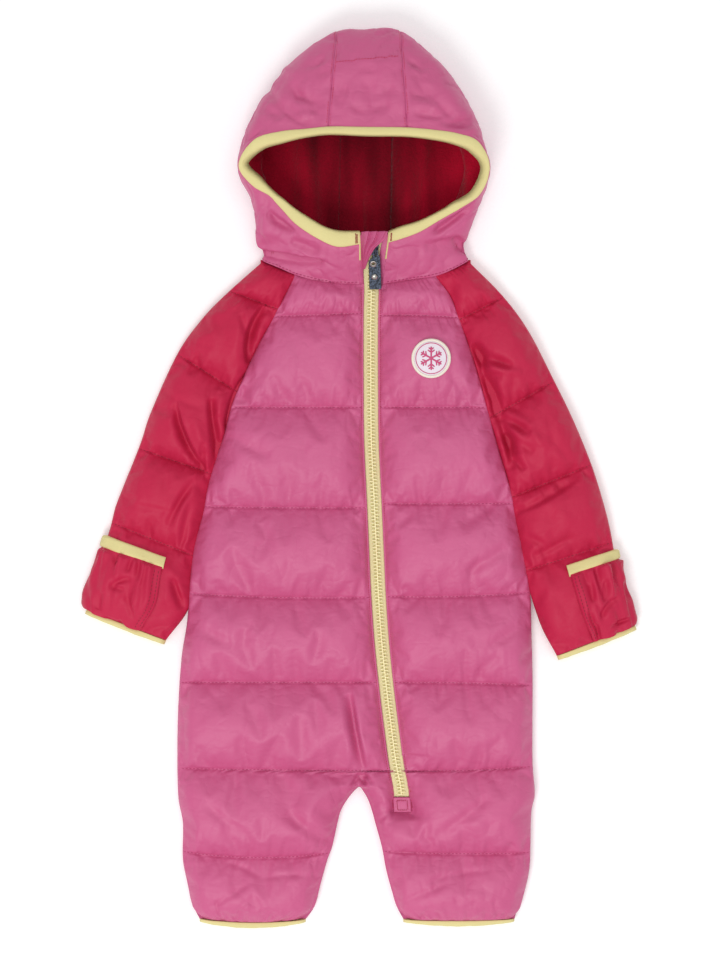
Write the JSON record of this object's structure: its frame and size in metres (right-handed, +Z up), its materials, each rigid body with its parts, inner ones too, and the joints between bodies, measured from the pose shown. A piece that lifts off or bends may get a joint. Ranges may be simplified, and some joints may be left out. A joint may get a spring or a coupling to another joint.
{
  "type": "baby snowsuit",
  "caption": "Padded one-piece baby snowsuit laid flat, zip closed, with a lined hood, quilted body and sleeves, mitten flaps and elastic bindings.",
  "frame": {"origin": "bottom centre of the box round the whole suit, on the surface it lies on", "axes": "+Y along the suit from the legs to the hood, +X across it to the wearer's left, +Z up out of the front"},
  "size_m": [0.4996, 0.8102, 0.0648],
  "materials": {
    "pink_shell": "satin",
    "red_shell": "satin",
    "fleece": "matte",
    "binding": "matte",
    "zip_tape": "matte",
    "zip_chain": "satin",
    "zip_metal": "satin",
    "pull": "satin",
    "silver": "polished",
    "badge": "matte"
  },
  "bodies": {
    "garment": {"front_right": "pink_shell", "front_left": "pink_shell", "back_right": "pink_shell", "back_left": "pink_shell", "hood_side_right": "pink_shell", "hood_side_left": "pink_shell", "hood_centre": "pink_shell", "zip_end_tab": "pink_shell", "chin_guard": "pink_shell", "sleeve_right": "red_shell", "sleeve_left": "red_shell", "mitten_flap_right": "red_shell", "mitten_flap_left": "red_shell", "lining_side_right": "fleece", "lining_side_left": "fleece", "lining_centre": "fleece", "flap_band_right": "binding", "flap_band_left": "binding", "hem_binding_right": "binding", "hem_binding_left": "binding", "cuff_binding_right": "binding", "cuff_binding_left": "binding", "hood_binding": "binding", "zip_tape": "zip_tape", "zip_chain": "zip_chain", "zip_slider": "zip_metal", "badge": "badge", "badge_rim": "badge"},
    "pull": {"zip_pull": "pull", "pull_eyelet": "silver", "pull_stud": "silver"}
  },
  "joints": [
    {"name": "pull_swing", "type": "hinge", "parent": "garment", "child": "pull", "pos_m": [0.0132, 0.20419, 0.03968], "axis": [-0.9997, -0.0221, -0.0141], "range_deg": [0, 100]}
  ]
}
